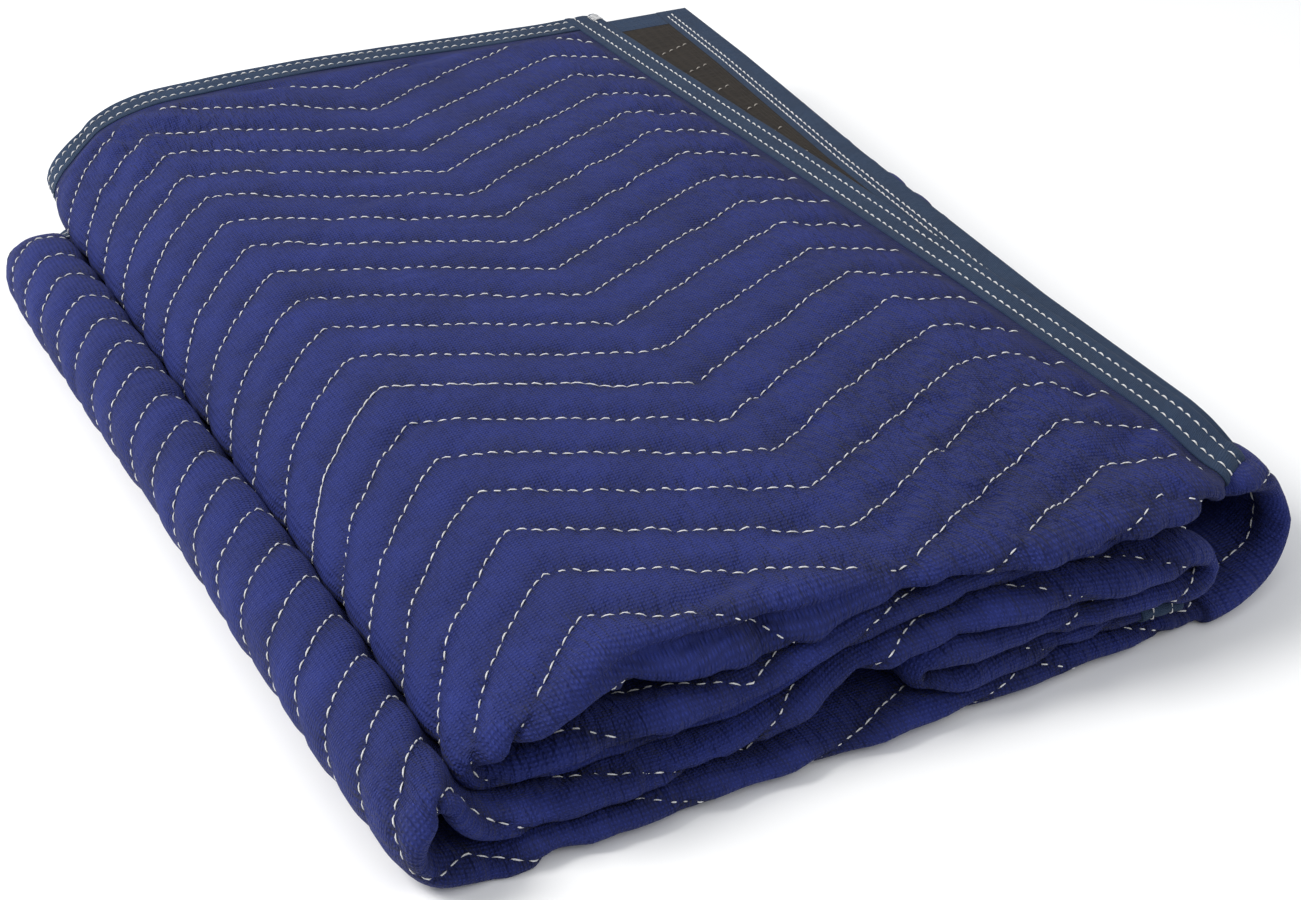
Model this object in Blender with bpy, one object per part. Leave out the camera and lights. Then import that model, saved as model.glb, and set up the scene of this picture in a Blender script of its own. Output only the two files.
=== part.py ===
"""Moving blanket of quilted cloth, folded into a flat stack, in Blender 4.5.

The blanket is doubled once along its length, so the fold lies at the front, and the doubled
strip is then folded back and forth into six panels. Seen from the front (+X right, +Z up) the
strip starts at the bound end on top and runs
    top panel, upper left roll, second panel, outer right turn, bottom panel, lower left roll,
    third panel, inner right turn, fourth panel, inner left turn, fifth panel, bound far end.
Every solid is a grid swept along that path, so one function, sheet_point, places them all:
    station  a place along the path, with the centre of the doubled strip and its normal there
    row      a place across the cloth: ply a from its back edge to the front fold, then ply b
    lift     the distance out from the middle of the doubled strip
Lengths below are millimetres, and the meshes are metres.
"""

import math
from collections import namedtuple

import bmesh
import bpy

NAME = "moving_blanket"
MM = 0.001

# Layers of the doubled strip, as lifts from its middle: the lining lies inside the face cloth.
FACE_OUT = 3.6
FACE_IN = 1.2
LINING_OUT = 0.9
LINING_IN = 0.2
# Under the binding the padding is pressed flat, and the tape wraps both sides of the ply.
FACE_OUT_PRESSED = 2.6
FACE_IN_PRESSED = 1.85
LINING_OUT_PRESSED = 1.5
LINING_IN_PRESSED = 1.05
TAPE_OUT = 3.6
TAPE_OUT_LINER = 3.1
TAPE_IN_LINER = 0.7
TAPE_IN = 0.2
TAPE_WIDTH = 17.0
TAPE_FOLD = 0.6
CLOTH_INSET = 1.0
GAP = 0.3
PRESSED_RUN = 1.7

# The front fold is rounder in depth than in height.
FOLD_DEPTH = 2.0
RIGHT_ANGLE = 90
HALF_TURN = 180

# Depth of each stated place across the stack: 0 is at FRONT_LINE and 1 at BACK_LINE.
DEPTHS = (0.0, 0.12, 0.3, 0.6, 0.85, 1.0)
FRONT_LINE = -36.0
BACK_LINE = 467.0
STRIP_DEPTH = BACK_LINE - FRONT_LINE
SAG_RUN = 45.0

# The middle line of the doubled strip, from the bound end on top to the bound far end.
# A knot is a station: x and z of the middle, the front fold and both plies' back edges in y,
# the side of the stack that it shifts with and by what share, and how far its back end sags.
Knot = namedtuple("Knot", "x z front back_a back_b side share sag")
# A turn is a half ellipse between the knots before and after it: its outermost x, the front
# fold and back edge there, its reach and its steps.
Turn = namedtuple("Turn", "side edge front back reach steps")
STRIP = (
    # top panel
    Knot(212, 44.9, -30, 467, 464, "none", 0.0, 0),
    Knot(150, 44.9, -35, 467, 464, "none", 0.0, 0),
    Knot(86, 44.9, -25, 467, 465, "none", 0.0, 0),
    Knot(40, 44.9, -24, 467, 465, "none", 0.0, 0),
    Knot(5, 44.3, -22, 465, 464, "none", 0.0, 0),
    Knot(-8, 42.9, -26, 463, 462, "upper_left", 0.2, 1),
    Knot(-18, 40.5, -30, 460, 460, "upper_left", 0.5, 2),
    # upper left roll
    Knot(-27, 37.1, -33, 456, 456, "upper_left", 0.9, 3.8),
    Knot(-36, 33.2, -31, 448, 448, "upper_left", 1.0, 2.4),
    Knot(-42.6, 29.2, -30, 444, 444, "upper_left", 1.0, 1.0),
    Knot(-45.2, 25.3, -31, 442, 442, "upper_left", 1.0, 0),
    Knot(-44.2, 21.6, -33, 441, 441, "upper_left", 1.0, 0),
    Knot(-40.4, 19.4, -35, 440, 440, "upper_left", 1.0, 0),
    Knot(-33, 19.0, -37, 439, 439, "upper_left", 1.0, 0),
    # second panel
    Knot(-18, 19.1, -38, 440, 440, "none", 0.0, 0),
    Knot(20, 20.4, -38, 446, 448, "none", 0.0, 0),
    Knot(45, 23.2, -36, 448, 450, "none", 0.0, 0),
    Knot(75, 31.8, -31, 449, 450, "none", 0.0, 0),
    Knot(104, 36.5, -32, 450, 452, "none", 0.0, 0),
    Knot(222, 36.5, -31, 454, 457, "none", 0.0, 0),
    Turn("outer_right", 264.0, -22, 456, 15.0, 5),
    # bottom panel
    Knot(222, 3.6, -36, 454, 456, "none", 0.0, 0),
    Knot(75, 3.6, -42, 443, 439, "none", 0.0, 0),
    Knot(-20, 3.6, -43, 432, 428, "none", 0.0, 0),
    # lower left roll
    Knot(-60, 3.6, -43, 423, 420, "lower_left", 1.0, 0),
    Knot(-68.8, 5.6, -43, 418, 417, "lower_left", 1.0, 0),
    Knot(-73.4, 10.0, -43, 416, 416, "lower_left", 1.0, 0.2),
    Knot(-74.7, 15.2, -43, 416, 416, "lower_left", 1.0, 1.2),
    Knot(-73.2, 20.3, -42, 416, 416, "lower_left", 1.0, 3.2),
    Knot(-68.3, 24.8, -42, 416, 416, "lower_left", 1.0, 6.4),
    Knot(-61, 26.8, -41, 416, 416, "upper_left", 0.5, 8.4),
    Knot(-54.8, 24.8, -40, 418, 418, "upper_left", 1.0, 6.5),
    Knot(-52.4, 19.8, -40, 420, 420, "upper_left", 1.0, 3),
    Knot(-48, 14.4, -40, 422, 422, "upper_left", 1.0, 0),
    # third panel
    Knot(-40, 11.6, -40, 424, 424, "upper_left", 1.0, 0),
    Knot(-18, 11.4, -40, 430, 429, "none", 0.0, 0),
    Knot(20, 12.4, -40, 438, 434, "none", 0.0, 0),
    Knot(45, 15.2, -38, 440, 436, "none", 0.0, 0),
    Knot(75, 23.6, -34, 441, 437, "none", 0.0, 0),
    Knot(104, 28.1, -35, 444, 440, "none", 0.0, 0),
    Knot(178, 28.3, -40, 449, 445, "none", 0.0, 0),
    Turn("inner_right", 216.0, -39, 448, 5.0, 4),
    # fourth panel
    Knot(178, 19.1, -40, 449, 445, "none", 0.0, 0),
    Knot(120, 20.4, -39, 444, 440, "none", 0.0, 0),
    Turn("inner_left", 93.0, -36, 440, 4.6, 4),
    # fifth panel
    Knot(125, 11.2, -39, 438, 438, "none", 0.0, 0),
)
BOUND_TOP = Knot(241, 44.9, -10, 467, 464, "none", 0.0, 0)
BOUND_FAR = Knot(198, 11.5, -38, 444, 440, "none", 0.0, 0)

# Shift in x of each side of the stack at each of DEPTHS.
SHIFTS = {
    "none": (0.0, 0.0, 0.0, 0.0, 0.0, 0.0),
    "upper_left": (-4.0, -1.0, 0.0, 0.0, 2.0, 9.0),
    "outer_right": (-10.0, -4.0, 0.0, 18.0, 31.0, 33.0),
    "lower_left": (2.0, -1.0, -1.0, -1.0, 1.0, 6.0),
    "inner_right": (-6.0, -3.0, 0.0, 6.0, 12.0, 14.0),
    "inner_left": (0.0, 0.0, 0.0, 0.0, 0.0, 0.0),
}

# Where the two bound ends lie at each of DEPTHS: the plies have slipped out of line.
END_TOP_A = (239.0, 240.0, 241.0, 241.0, 239.5, 239.0)
END_TOP_B = (241.0, 247.0, 252.0, 266.0, 281.0, 288.0)
END_FAR_A = (198.0, 200.0, 204.0, 210.0, 214.0, 216.0)
END_FAR_B = (198.0, 197.0, 196.0, 193.0, 191.0, 190.0)

# Places of a panel's inner rows between the back binding and the fold.
BODY_DEPTHS = (0.84, 0.48, 0.0)
FOLD_ANGLES = (45, RIGHT_ANGLE, 135)

Row = namedtuple("Row", "inset depth angle")
Station = namedtuple("Station", "x z nx nz front back_a back_b")

# Base colour, roughness.
FACE_FINISH = ((0.035, 0.045, 0.24, 1), 0.85)
LINING_FINISH = ((0.025, 0.02, 0.016, 1), 0.9)
TAPE_FINISH = ((0.035, 0.07, 0.12, 1), 0.75)


def ramp(table, value):
    """The table's second column at value, along straight lines between its rows."""
    for low, high in zip(table, table[1:]):
        if value <= high[0]:
            share = max(0.0, (value - low[0]) / (high[0] - low[0]))
            return low[1] + share * (high[1] - low[1])
    return table[-1][1]


def at_depth(values, depth):
    return ramp(tuple(zip(DEPTHS, values)), depth)


def end_insets():
    """Distances from a bound end of the stations that step from pressed to full thickness."""
    return (CLOTH_INSET, TAPE_WIDTH + GAP, TAPE_WIDTH + GAP + PRESSED_RUN)


def between(first, second, share, x, z):
    """A knot at (x, z) whose other sizes lie part way from one knot to another."""
    fields = zip(first[2:5], second[2:5])
    return Knot(x, z, *[a + share * (b - a) for a, b in fields], "none", 0.0, 0)


def turn_knots(turn, before, after, depth):
    """The knots of a half ellipse from the level of one knot to that of the next."""
    facing = 1 if turn.edge > (before.x + after.x) / 2 else -1
    start = turn.edge + at_depth(SHIFTS[turn.side], depth) - facing * (FACE_OUT + turn.reach)
    knots = []
    for step in range(turn.steps + 1):
        share = step / turn.steps
        angle = math.pi * share
        x = start + facing * turn.reach * math.sin(angle)
        z = (before.z + after.z) / 2 + (before.z - after.z) / 2 * math.cos(angle)
        swell = math.sin(angle)
        front = swell * (turn.front - (before.front + after.front) / 2)
        back = swell * (turn.back - (before.back_a + after.back_a) / 2)
        knot = between(before, after, share, x, z)
        fields = {"front": front, "back_a": back, "back_b": back}
        knots.append(knot._replace(**{name: getattr(knot, name) + add for name, add in fields.items()}))
    return knots


def path_knots(depth, end_top, end_far):
    """The knots of the whole strip at one depth, between the two bound ends."""
    knots = []
    for inset in end_insets():
        x = end_top - inset
        share = (BOUND_TOP.x - x) / (BOUND_TOP.x - STRIP[0].x)
        knots.append(between(BOUND_TOP, STRIP[0], share, x, BOUND_TOP.z))
    for index, item in enumerate(STRIP):
        if isinstance(item, Turn):
            knots += turn_knots(item, STRIP[index - 1], STRIP[index + 1], depth)
        else:
            shift = item.share * at_depth(SHIFTS[item.side], depth)
            knots.append(item._replace(x=item.x + shift))
    for inset in reversed(end_insets()):
        knots.append(BOUND_FAR._replace(x=end_far - inset))
    return knots


def row_place(row, front, back_a, back_b, lift):
    """How far back a point of a row lies, from its station's front fold and back edges."""
    base = front + FOLD_DEPTH * FACE_OUT
    back = back_a if row.angle < RIGHT_ANGLE else back_b
    place = base + row.depth * (back - base) if row.inset is None else back - row.inset
    return place - FOLD_DEPTH * lift * math.sin(math.radians(row.angle))


def ply_path(depth, angle):
    ply = angle / HALF_TURN
    end_top = (1 - ply) * at_depth(END_TOP_A, depth) + ply * at_depth(END_TOP_B, depth)
    end_far = (1 - ply) * at_depth(END_FAR_A, depth) + ply * at_depth(END_FAR_B, depth)
    return path_knots(depth, end_top, end_far)


def sagged(knot, place):
    """Height of a knot's middle at a place across the stack: its back end may hang lower."""
    back = min(knot.back_a, knot.back_b)
    return knot.z - knot.sag * max(0.0, 1 - (back - place) / SAG_RUN)


def stations_at(row):
    """The path's stations in one row, each with its unit normal in the XZ plane."""
    stations = []
    for index, rough in enumerate(ply_path(row.depth, row.angle)):
        place = row_place(row, *rough[2:5], 0.0)
        depth = min(1.0, max(0.0, (place - FRONT_LINE) / STRIP_DEPTH))
        knots = ply_path(depth, row.angle)
        before = knots[max(index - 1, 0)]
        here = knots[index]
        after = knots[min(index + 1, len(knots) - 1)]
        dx, dz = after.x - before.x, sagged(after, place) - sagged(before, place)
        length = math.hypot(dx, dz)
        stations.append(Station(here.x, sagged(here, place), dz / length, -dx / length, *here[2:5]))
    return stations


def sheet_point(station, row, lift):
    """The point of a row that lies lift out from the middle of the doubled strip."""
    offset = lift * math.cos(math.radians(row.angle))
    return (
        (station.x + station.nx * offset) * MM,
        row_place(row, station.front, station.back_a, station.back_b, lift) * MM,
        (station.z + station.nz * offset) * MM,
    )


def cloth_rows(angles):
    """Rows across the whole cloth, from ply a's back edge round the front fold to ply b's."""
    edge = [Row(inset, 1 - inset / STRIP_DEPTH, 0) for inset in end_insets()]
    body = [Row(None, depth, 0) for depth in BODY_DEPTHS]
    ply_a = edge + body
    fold = [Row(None, 0.0, angle) for angle in angles]
    ply_b = [row._replace(angle=HALF_TURN) for row in reversed(ply_a)]
    return ply_a + fold + ply_b


def new_object(name, mesh_maker, finish, collection):
    mesh = bpy.data.meshes.new(name)
    shape = bmesh.new()
    mesh_maker(shape)
    bmesh.ops.recalc_face_normals(shape, faces=shape.faces)
    bmesh.ops.triangulate(shape, faces=shape.faces)
    shape.to_mesh(mesh)
    shape.free()
    mesh.shade_smooth()
    mesh.set_sharp_from_angle(angle=math.radians(50))
    colour, roughness = finish
    material = bpy.data.materials.new(name + "_finish")
    material.use_nodes = True
    shader = material.node_tree.nodes["Principled BSDF"]
    shader.inputs["Base Color"].default_value = colour
    shader.inputs["Roughness"].default_value = roughness
    shader.inputs["Metallic"].default_value = 0.0
    mesh.materials.append(material)
    piece = bpy.data.objects.new(name, mesh)
    collection.objects.link(piece)
    return piece


def sweep(shape, rings):
    """A closed tube through rings of points, capped at its two ends."""
    made = [[shape.verts.new(point) for point in ring] for ring in rings]
    count = len(made[0])
    for first, second in zip(made, made[1:]):
        for index in range(count):
            after = (index + 1) % count
            shape.faces.new((first[index], first[after], second[after], second[index]))
    shape.faces.new(made[0])
    shape.faces.new(reversed(made[-1]))


def sheet_solid(shape, rows, full, pressed):
    """A thick sheet over all stations and rows: full and pressed are its (outer, inner) lifts."""
    table = [stations_at(row) for row in rows]
    last = len(table[0]) - 1
    grids = []
    for side in (0, 1):
        grid = []
        for row, stations in zip(rows, table):
            line = []
            for index, station in enumerate(stations):
                at_end = index < 2 or index > last - 2
                at_back = row.inset is not None and row.inset <= TAPE_WIDTH + GAP
                lift = pressed[side] if at_end or at_back else full[side]
                line.append(shape.verts.new(sheet_point(station, row, lift)))
            grid.append(line)
        grids.append(grid)
    outer, inner = grids
    for r in range(len(rows) - 1):
        for s in range(last):
            for grid in grids:
                quad = (grid[r][s], grid[r][s + 1], grid[r + 1][s + 1], grid[r + 1][s])
                shape.faces.new(quad)
    for s in range(last):
        for r in (0, -1):
            shape.faces.new((outer[r][s], outer[r][s + 1], inner[r][s + 1], inner[r][s]))
    for r in range(len(rows) - 1):
        for s in (0, -1):
            shape.faces.new((outer[r][s], outer[r + 1][s], inner[r + 1][s], inner[r][s]))


def tape_profile():
    """(inset, lift) round the section of a binding tape folded over a cloth edge."""
    return (
        (TAPE_WIDTH, TAPE_OUT),
        (0.0, TAPE_OUT),
        (0.0, TAPE_IN),
        (TAPE_WIDTH, TAPE_IN),
        (TAPE_WIDTH, TAPE_IN_LINER),
        (TAPE_FOLD, TAPE_IN_LINER),
        (TAPE_FOLD, TAPE_OUT_LINER),
        (TAPE_WIDTH, TAPE_OUT_LINER),
    )


def back_tape(shape, angle):
    """Binding along one ply's back edge, between the tapes of the two bound ends."""
    profile = tape_profile()
    rows = [Row(inset, 1 - inset / STRIP_DEPTH, angle) for inset, lift in profile]
    table = [stations_at(row) for row in rows]
    rings = []
    for index in range(1, len(table[0]) - 1):
        ring = []
        for (inset, lift), row, stations in zip(profile, rows, table):
            ring.append(sheet_point(stations[index], row, lift))
        rings.append(ring)
    sweep(shape, rings)


def end_tape(shape, at_top):
    """Binding of one bound end, along ply a, round the front fold and back along ply b."""
    rings = []
    rows = cloth_rows(FOLD_ANGLES)
    rows[0] = rows[0]._replace(inset=0.0)
    rows[-1] = rows[-1]._replace(inset=0.0)
    for row in rows:
        stations = stations_at(row)
        first, inner = (stations[0], stations[2]) if at_top else (stations[-1], stations[-3])
        reach = end_insets()[2] - CLOTH_INSET
        ring = []
        for inset, lift in tape_profile():
            share = (inset - CLOTH_INSET) / reach
            place = Station(*[a + share * (b - a) for a, b in zip(first, inner)])
            place = place._replace(nx=0.0, nz=1.0 if at_top else -1.0)
            ring.append(sheet_point(place, row, lift))
        rings.append(ring)
    sweep(shape, rings)


def stand_on_origin(pieces):
    """Moves the meshes so that the middle of the whole box's underside is the origin."""
    points = [vertex.co for piece in pieces for vertex in piece.data.vertices]
    low = [min(point[axis] for point in points) for axis in range(3)]
    high = [max(point[axis] for point in points) for axis in range(3)]
    shift = ((low[0] + high[0]) / 2, (low[1] + high[1]) / 2, low[2])
    for piece in pieces:
        for vertex in piece.data.vertices:
            vertex.co.x -= shift[0]
            vertex.co.y -= shift[1]
            vertex.co.z -= shift[2]


def main():
    for old in list(bpy.data.objects):
        bpy.data.objects.remove(old)
    collection = bpy.data.collections.new(NAME)
    bpy.context.scene.collection.children.link(collection)
    face = (FACE_OUT, FACE_IN), (FACE_OUT_PRESSED, FACE_IN_PRESSED)
    lining = (LINING_OUT, LINING_IN), (LINING_OUT_PRESSED, LINING_IN_PRESSED)
    makers = {
        "face_cloth": (lambda shape: sheet_solid(shape, cloth_rows(FOLD_ANGLES), *face), FACE_FINISH),
        "lining_cloth": (lambda shape: sheet_solid(shape, cloth_rows((RIGHT_ANGLE,)), *lining), LINING_FINISH),
        "binding_back_a": (lambda shape: back_tape(shape, 0), TAPE_FINISH),
        "binding_back_b": (lambda shape: back_tape(shape, HALF_TURN), TAPE_FINISH),
        "binding_top_end": (lambda shape: end_tape(shape, True), TAPE_FINISH),
        "binding_far_end": (lambda shape: end_tape(shape, False), TAPE_FINISH),
    }
    pieces = [new_object(name, maker, finish, collection) for name, (maker, finish) in makers.items()]
    stand_on_origin(pieces)


main()
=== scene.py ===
import math
from collections import namedtuple

import bpy
import numpy as np
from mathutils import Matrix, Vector


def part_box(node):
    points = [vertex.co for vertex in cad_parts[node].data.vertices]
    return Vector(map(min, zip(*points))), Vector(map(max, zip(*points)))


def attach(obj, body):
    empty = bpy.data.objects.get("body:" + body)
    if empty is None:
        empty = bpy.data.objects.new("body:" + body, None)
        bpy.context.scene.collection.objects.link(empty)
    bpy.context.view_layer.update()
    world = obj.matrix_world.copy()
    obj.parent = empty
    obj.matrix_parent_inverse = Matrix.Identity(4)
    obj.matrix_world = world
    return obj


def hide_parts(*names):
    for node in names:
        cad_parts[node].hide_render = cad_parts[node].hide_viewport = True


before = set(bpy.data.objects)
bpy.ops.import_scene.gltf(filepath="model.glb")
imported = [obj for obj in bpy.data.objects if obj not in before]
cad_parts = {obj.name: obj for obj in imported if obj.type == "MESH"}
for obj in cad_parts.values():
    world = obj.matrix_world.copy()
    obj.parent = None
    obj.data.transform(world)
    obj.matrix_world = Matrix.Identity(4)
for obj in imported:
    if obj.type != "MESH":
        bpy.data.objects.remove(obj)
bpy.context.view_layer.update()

MM = 0.001
RNG = np.random.default_rng(7)

# ---------------------------------------------------------------- the folded strip, as in the CAD
FACE_OUT = 3.6
FACE_PRESSED = 2.6
LINING_OUT = 0.95
LINING_IN = 0.3
TAPE_OUT = 3.6
TAPE_IN = 0.2
TAPE_THICK = 0.5
TAPE_WIDTH = 17.0
END_INSETS = (1.0, 17.3, 19.0)
FOLD_DEPTH = 2.0
DEPTHS = (0.0, 0.12, 0.3, 0.6, 0.85, 1.0)
FRONT_LINE = -36.0
BACK_LINE = 467.0
STRIP_DEPTH = BACK_LINE - FRONT_LINE
SAG_RUN = 45.0

Knot = namedtuple("Knot", "x z front back_a back_b side share sag")
Turn = namedtuple("Turn", "side edge front back reach steps")
STRIP = (
    # top panel
    Knot(212, 44.9, -30, 467, 464, "none", 0.0, 0),
    Knot(150, 44.9, -35, 467, 464, "none", 0.0, 0),
    Knot(86, 44.9, -25, 467, 465, "none", 0.0, 0),
    Knot(40, 44.9, -24, 467, 465, "none", 0.0, 0),
    Knot(5, 44.3, -22, 465, 464, "none", 0.0, 0),
    Knot(-8, 42.9, -26, 463, 462, "upper_left", 0.2, 1),
    Knot(-18, 40.5, -30, 460, 460, "upper_left", 0.5, 2),
    # upper left roll
    Knot(-27, 37.1, -33, 456, 456, "upper_left", 0.9, 3.8),
    Knot(-36, 33.2, -31, 448, 448, "upper_left", 1.0, 2.4),
    Knot(-42.6, 29.2, -30, 444, 444, "upper_left", 1.0, 1.0),
    Knot(-45.2, 25.3, -31, 442, 442, "upper_left", 1.0, 0),
    Knot(-44.2, 21.6, -33, 441, 441, "upper_left", 1.0, 0),
    Knot(-40.4, 19.4, -35, 440, 440, "upper_left", 1.0, 0),
    Knot(-33, 19.0, -37, 439, 439, "upper_left", 1.0, 0),
    # second panel
    Knot(-18, 19.1, -38, 440, 440, "none", 0.0, 0),
    Knot(20, 20.4, -38, 446, 448, "none", 0.0, 0),
    Knot(45, 23.2, -36, 448, 450, "none", 0.0, 0),
    Knot(75, 31.8, -31, 449, 450, "none", 0.0, 0),
    Knot(104, 36.5, -32, 450, 452, "none", 0.0, 0),
    Knot(222, 36.5, -31, 454, 457, "none", 0.0, 0),
    Turn("outer_right", 264.0, -22, 456, 15.0, 5),
    # bottom panel
    Knot(222, 3.6, -36, 454, 456, "none", 0.0, 0),
    Knot(75, 3.6, -42, 443, 439, "none", 0.0, 0),
    Knot(-20, 3.6, -43, 432, 428, "none", 0.0, 0),
    # lower left roll
    Knot(-60, 3.6, -43, 423, 420, "lower_left", 1.0, 0),
    Knot(-68.8, 5.6, -43, 418, 417, "lower_left", 1.0, 0),
    Knot(-73.4, 10.0, -43, 416, 416, "lower_left", 1.0, 0.2),
    Knot(-74.7, 15.2, -43, 416, 416, "lower_left", 1.0, 1.2),
    Knot(-73.2, 20.3, -42, 416, 416, "lower_left", 1.0, 3.2),
    Knot(-68.3, 24.8, -42, 416, 416, "lower_left", 1.0, 6.4),
    Knot(-61, 26.8, -41, 416, 416, "upper_left", 0.5, 8.4),
    Knot(-54.8, 24.8, -40, 418, 418, "upper_left", 1.0, 6.5),
    Knot(-52.4, 19.8, -40, 420, 420, "upper_left", 1.0, 3),
    Knot(-48, 14.4, -40, 422, 422, "upper_left", 1.0, 0),
    # third panel
    Knot(-40, 11.6, -40, 424, 424, "upper_left", 1.0, 0),
    Knot(-18, 11.4, -40, 430, 429, "none", 0.0, 0),
    Knot(20, 12.4, -40, 438, 434, "none", 0.0, 0),
    Knot(45, 15.2, -38, 440, 436, "none", 0.0, 0),
    Knot(75, 23.6, -34, 441, 437, "none", 0.0, 0),
    Knot(104, 28.1, -35, 444, 440, "none", 0.0, 0),
    Knot(178, 28.3, -40, 449, 445, "none", 0.0, 0),
    Turn("inner_right", 216.0, -39, 448, 5.0, 4),
    # fourth panel
    Knot(178, 19.1, -40, 449, 445, "none", 0.0, 0),
    Knot(120, 20.4, -39, 444, 440, "none", 0.0, 0),
    Turn("inner_left", 93.0, -36, 440, 4.6, 4),
    # fifth panel
    Knot(125, 11.2, -39, 438, 438, "none", 0.0, 0),
)
BOUND_TOP = Knot(241, 44.9, -10, 467, 464, "none", 0.0, 0)
BOUND_FAR = Knot(198, 11.5, -38, 444, 440, "none", 0.0, 0)
SHIFTS = {
    "none": (0.0, 0.0, 0.0, 0.0, 0.0, 0.0),
    "upper_left": (-4.0, -1.0, 0.0, 0.0, 2.0, 9.0),
    "outer_right": (-10.0, -4.0, 0.0, 18.0, 31.0, 33.0),
    "lower_left": (2.0, -1.0, -1.0, -1.0, 1.0, 6.0),
    "inner_right": (-6.0, -3.0, 0.0, 6.0, 12.0, 14.0),
    "inner_left": (0.0, 0.0, 0.0, 0.0, 0.0, 0.0),
}
SIDES = ("upper_left", "outer_right", "lower_left", "inner_right")
END_TOP_A = (239.0, 240.0, 241.0, 241.0, 239.5, 239.0)
END_TOP_B = (241.0, 247.0, 252.0, 266.0, 281.0, 288.0)
END_FAR_A = (198.0, 200.0, 204.0, 210.0, 214.0, 216.0)
END_FAR_B = (198.0, 197.0, 196.0, 193.0, 191.0, 190.0)

# Columns of the station table.
X, Z, FRONT, BACK_A, BACK_B, SAG = range(6)
SHARE = 6
TOP_END = SHARE + len(SIDES)
FAR_END = TOP_END + 1
WIDTH = FAR_END + 1

# Station spacing (mm) after the knots of STRIP: where the cloth shows it is fine.
FINE, MEDIUM, COARSE = 2.4, 3.4, 6.0
ROLL, BOTTOM = 2.2, 4.5


def knot_row(knot, x=None):
    row = np.zeros(WIDTH)
    row[:6] = knot.x if x is None else x, knot.z, knot.front, knot.back_a, knot.back_b, knot.sag
    if knot.side in SIDES:
        row[SHARE + SIDES.index(knot.side)] = knot.share
    return row


def end_row(knot, towards, inset, column):
    share = inset / abs(knot.x - towards.x)
    row = knot_row(knot, -inset)
    row[FRONT] += share * (towards.front - knot.front)
    row[column] = 1.0
    return row


def turn_rows(turn, before, after):
    facing = 1 if turn.edge > (before.x + after.x) / 2 else -1
    start = turn.edge - facing * (FACE_OUT + turn.reach)
    rows = []
    for step in range(turn.steps + 1):
        share = step / turn.steps
        angle = math.pi * share
        swell = math.sin(angle)
        mean_front = (before.front + after.front) / 2
        mean_back = (before.back_a + after.back_a) / 2
        first, second = knot_row(before), knot_row(after)
        row = first + share * (second - first)
        row[SHARE:] = 0.0
        row[X] = start + facing * turn.reach * math.sin(angle)
        row[Z] = (before.z + after.z) / 2 + (before.z - after.z) / 2 * math.cos(angle)
        row[FRONT] += swell * (turn.front - mean_front)
        row[BACK_A] += swell * (turn.back - mean_back)
        row[BACK_B] += swell * (turn.back - mean_back)
        row[SAG] = 0.0
        if turn.side in SIDES:
            row[SHARE + SIDES.index(turn.side)] = 1.0
        rows.append(row)
    return rows


def knot_table():
    """All knots of the strip as rows, with the spacing wanted in the stretch after each."""
    rows, spacing = [], []
    for inset in END_INSETS:
        rows.append(end_row(BOUND_TOP, STRIP[0], inset, TOP_END))
        spacing.append(FINE)
    for index, item in enumerate(STRIP):
        if isinstance(item, Turn):
            made = turn_rows(item, STRIP[index - 1], STRIP[index + 1])
            rows += made
            spacing += [FINE if item.side == "outer_right" else MEDIUM] * len(made)
        else:
            rows.append(knot_row(item))
            if index < 12:
                spacing.append(FINE)
            elif 23 <= index <= 33:
                spacing.append(ROLL)
            elif 20 < index < 23:
                spacing.append(BOTTOM)
            elif index in (14, 15, 16, 17, 34, 35, 36, 37, 38):
                spacing.append(MEDIUM)
            else:
                spacing.append(COARSE)
    for inset in reversed(END_INSETS):
        row = knot_row(BOUND_FAR, -inset)
        row[FAR_END] = 1.0
        rows.append(row)
        spacing.append(FINE)
    return np.array(rows), spacing


def at_depth(values, depth):
    return np.interp(depth, DEPTHS, values)


def end_at(column, depth, ply):
    first, second = (END_TOP_A, END_TOP_B) if column == TOP_END else (END_FAR_A, END_FAR_B)
    return (1 - ply) * at_depth(first, depth) + ply * at_depth(second, depth)


def plain_x(table, depth, ply):
    """x of each station of a table at one depth."""
    x = table[:, X].copy()
    for index, side in enumerate(SIDES):
        x += table[:, SHARE + index] * at_depth(SHIFTS[side], depth)
    for column in (TOP_END, FAR_END):
        x += table[:, column] * end_at(column, depth, ply)
    return x


def smooth_table(rows, spacing):
    """The knots' rows carried by one smooth curve, cut into short steps."""
    x = plain_x(rows, 0.3, 0.5)
    gaps = np.hypot(np.diff(x), np.diff(rows[:, Z]))
    gaps = np.maximum(gaps, 0.2)
    slopes = np.diff(rows, axis=0) / gaps[:, None]
    tangents = np.empty_like(rows)
    tangents[0], tangents[-1] = slopes[0], slopes[-1]
    before, after = gaps[:-1, None], gaps[1:, None]
    tangents[1:-1] = (slopes[1:] * before + slopes[:-1] * after) / (before + after)
    for index in (1, 2, len(rows) - 3, len(rows) - 2):
        tangents[index] = slopes[index if index > 2 else index - 1]
    made = []
    for index, gap in enumerate(gaps):
        count = max(1, round(gap / spacing[index]))
        t = (np.arange(count) / count)[:, None]
        a, b = rows[index], rows[index + 1]
        m, n = tangents[index] * gap, tangents[index + 1] * gap
        if index < 2 or index > len(gaps) - 3:
            made.append(a + t * (b - a))
            continue
        made.append(
            (2 * t**3 - 3 * t**2 + 1) * a + (t**3 - 2 * t**2 + t) * m
            + (3 * t**2 - 2 * t**3) * b + (t**3 - t**2) * n
        )
    made.append(rows[-1:])
    return np.concatenate(made)


STATIONS = smooth_table(*knot_table())
COUNT = len(STATIONS)

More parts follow.
